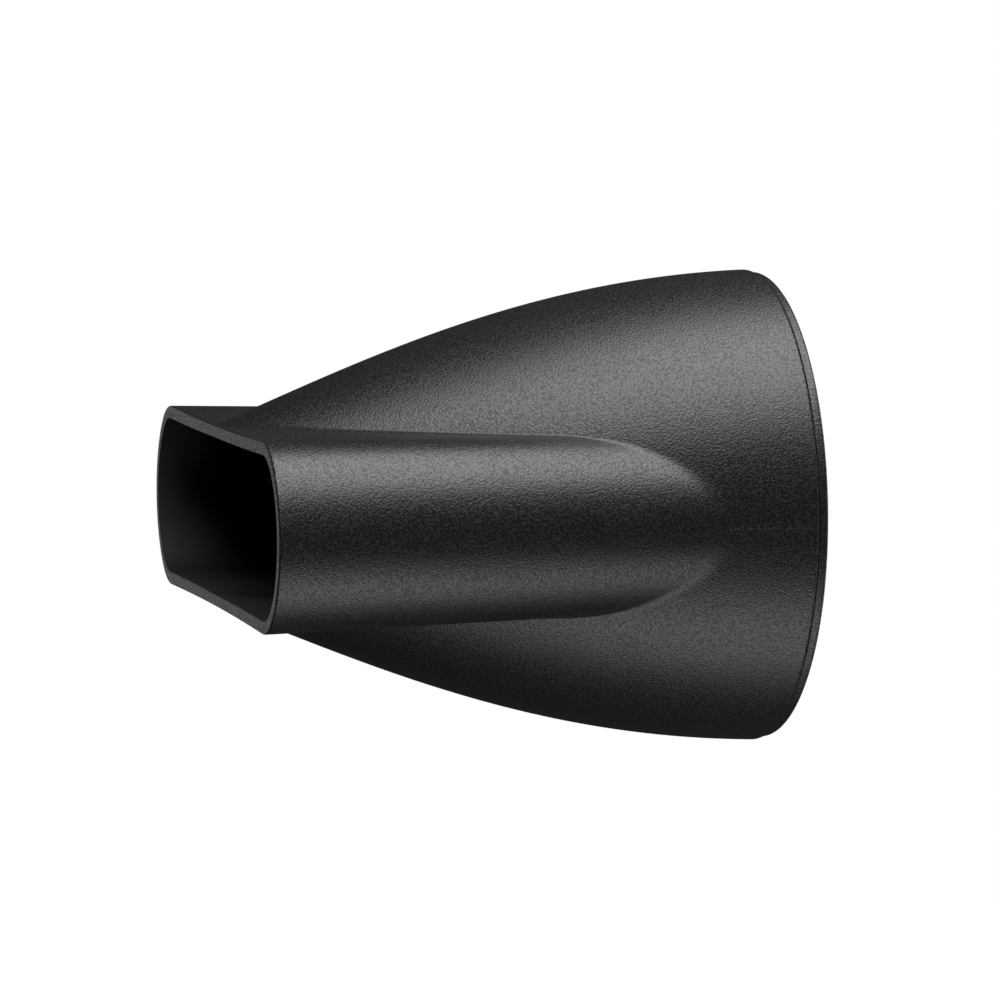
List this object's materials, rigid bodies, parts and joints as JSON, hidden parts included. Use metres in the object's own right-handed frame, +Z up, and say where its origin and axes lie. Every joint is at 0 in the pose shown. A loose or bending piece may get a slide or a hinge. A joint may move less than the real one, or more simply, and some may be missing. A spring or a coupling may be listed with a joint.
{
  "type": "hair dryer nozzle",
  "caption": "Concentrator nozzle: a round skirt runs into a wide flat slot, and the shell swivels on a spring-fingered barrel socket.",
  "frame": {"origin": "centre of the rear ring's rear face, on the nozzle's axis, where the dryer's barrel goes in", "axes": "+X along the nozzle's axis, out of its back towards the dryer; the air leaves towards -X; Y along the slot's width; +Z up, across the slot's thickness"},
  "size_m": [0.0776, 0.082, 0.066],
  "materials": {
    "textured_black_plastic": "fine spark-eroded mould texture, satin",
    "black_nylon": "as moulded, satin",
    "spring_steel": "drawn wire",
    "grey_silicone": "matt"
  },
  "bodies": {
    "socket": {"barrel_sleeve": "black_nylon", "grip_spring": "spring_steel", "drag_ring": "grey_silicone"},
    "shell": {"outer_shell": "textured_black_plastic", "rear_ring": "textured_black_plastic"}
  },
  "joints": [
    {"name": "shell_swivel", "type": "hinge", "parent": "socket", "child": "shell", "pos_m": [-0.0065, 0, 0], "axis": [1, 0, 0], "continuous": true}
  ]
}
